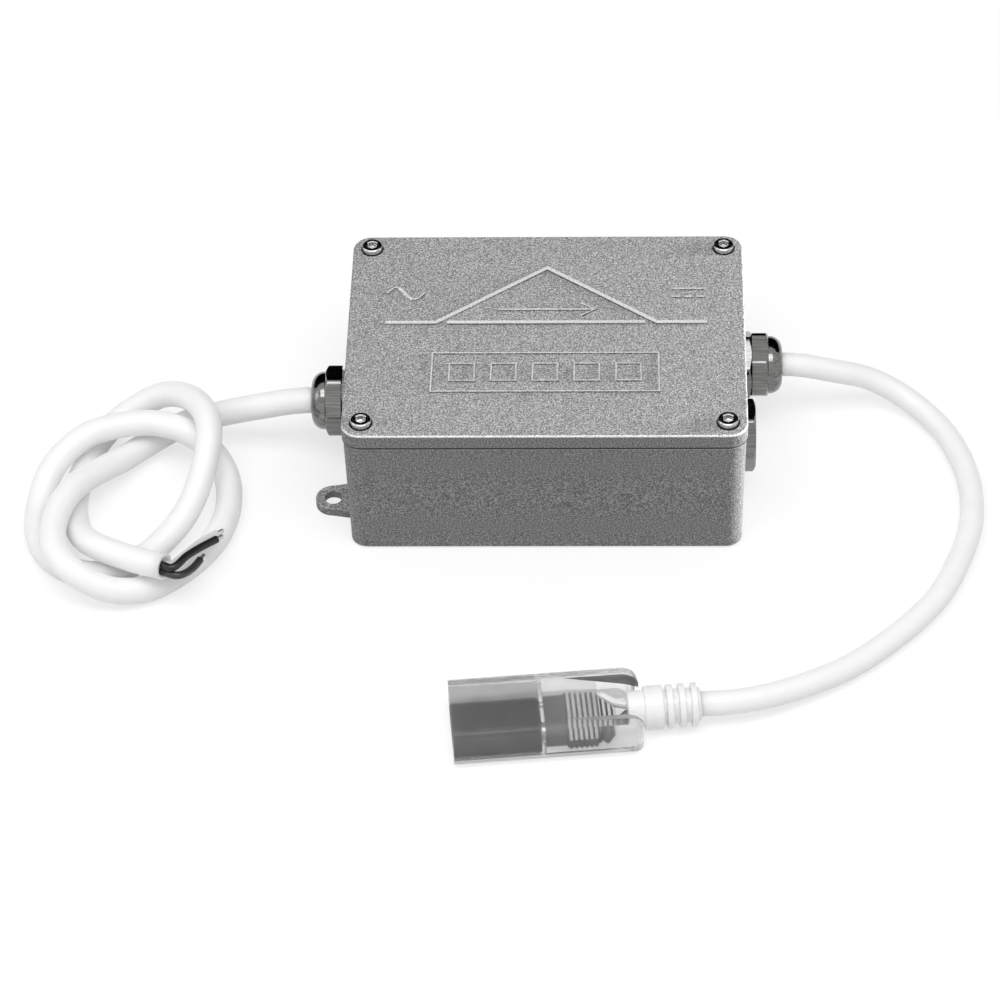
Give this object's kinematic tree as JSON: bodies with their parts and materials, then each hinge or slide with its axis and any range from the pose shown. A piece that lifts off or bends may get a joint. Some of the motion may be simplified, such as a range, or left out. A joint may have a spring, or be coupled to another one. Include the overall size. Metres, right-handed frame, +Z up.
{
  "type": "led driver",
  "caption": "Sealed die-cast rectifier driver for mains LED strip, with a knotted mains cord cut off bare, an output cord with a clear strip plug, cable glands and fixing ears",
  "frame": {"origin": "middle of the box's underside, on the surface that it stands on", "axes": "+X towards the output cord's side, +Y away from the viewer of the picture, +Z up through the lid"},
  "size_m": [0.2567, 0.1587, 0.043],
  "materials": {
    "cast_aluminium": "sparkling cast grain",
    "nickel_plate": "bright plated",
    "stainless_steel": "turned",
    "black_rubber": "matte",
    "black_nylon": "moulded",
    "white_jacket": "satin PVC",
    "core_live": "satin insulation, dark grey",
    "core_neutral": "satin insulation, black",
    "core_earth": "satin insulation, pale grey",
    "milky_boot": "milky soft PVC",
    "clear_shell": "clear moulded",
    "grey_carrier": "moulded",
    "contact_brass": "drawn",
    "lead_light": "satin insulation",
    "lead_dark": "satin insulation",
    "board_laminate": "lacquered",
    "black_epoxy": "moulded",
    "heat_pad": "matte",
    "fuse_glass": "clear",
    "tinned_clip": "pressed",
    "blue_epoxy": "dipped",
    "amber_case": "moulded",
    "blue_sleeve": "shrunk sleeve",
    "copper_winding": "enamelled wire",
    "green_terminal": "moulded"
  },
  "bodies": {
    "root": {"base_box": "cast_aluminium", "lid": "cast_aluminium", "ac_gland_body": "nickel_plate", "ac_gland_dome_nut": "nickel_plate", "ac_gland_locknut": "nickel_plate", "dc_gland_body": "nickel_plate", "dc_gland_dome_nut": "nickel_plate", "dc_gland_locknut": "nickel_plate", "blanking_plug": "nickel_plate", "blanking_plug_locknut": "nickel_plate", "lid_screws": "stainless_steel", "board_screws": "stainless_steel", "rectifier_screw": "stainless_steel", "ac_gland_o_ring": "black_rubber", "dc_gland_o_ring": "black_rubber", "blanking_plug_o_ring": "black_rubber", "lid_gasket": "black_rubber", "ac_gland_seal": "black_rubber", "dc_gland_seal": "black_rubber", "ac_gland_claw": "black_nylon", "dc_gland_claw": "black_nylon", "ac_cord": "white_jacket", "dc_cord": "white_jacket", "ac_core_live": "core_live", "ac_core_neutral": "core_neutral", "ac_core_earth": "core_earth", "dc_strain_relief": "milky_boot", "plug_shell": "clear_shell", "plug_carrier": "grey_carrier", "plug_contacts": "contact_brass", "plug_wire_light": "lead_light", "plug_wire_dark": "lead_dark", "circuit_board": "board_laminate", "bridge_rectifier": "black_epoxy", "ac_inner_leads": "black_epoxy", "dc_inner_leads": "black_epoxy", "thermal_pad": "heat_pad", "fuse": "fuse_glass", "fuse_clips": "tinned_clip", "varistor": "blue_epoxy", "x_capacitor": "amber_case", "smoothing_capacitor": "blue_sleeve", "choke": "copper_winding", "ac_terminal_block": "green_terminal", "dc_terminal_block": "green_terminal"}
  },
  "joints": []
}
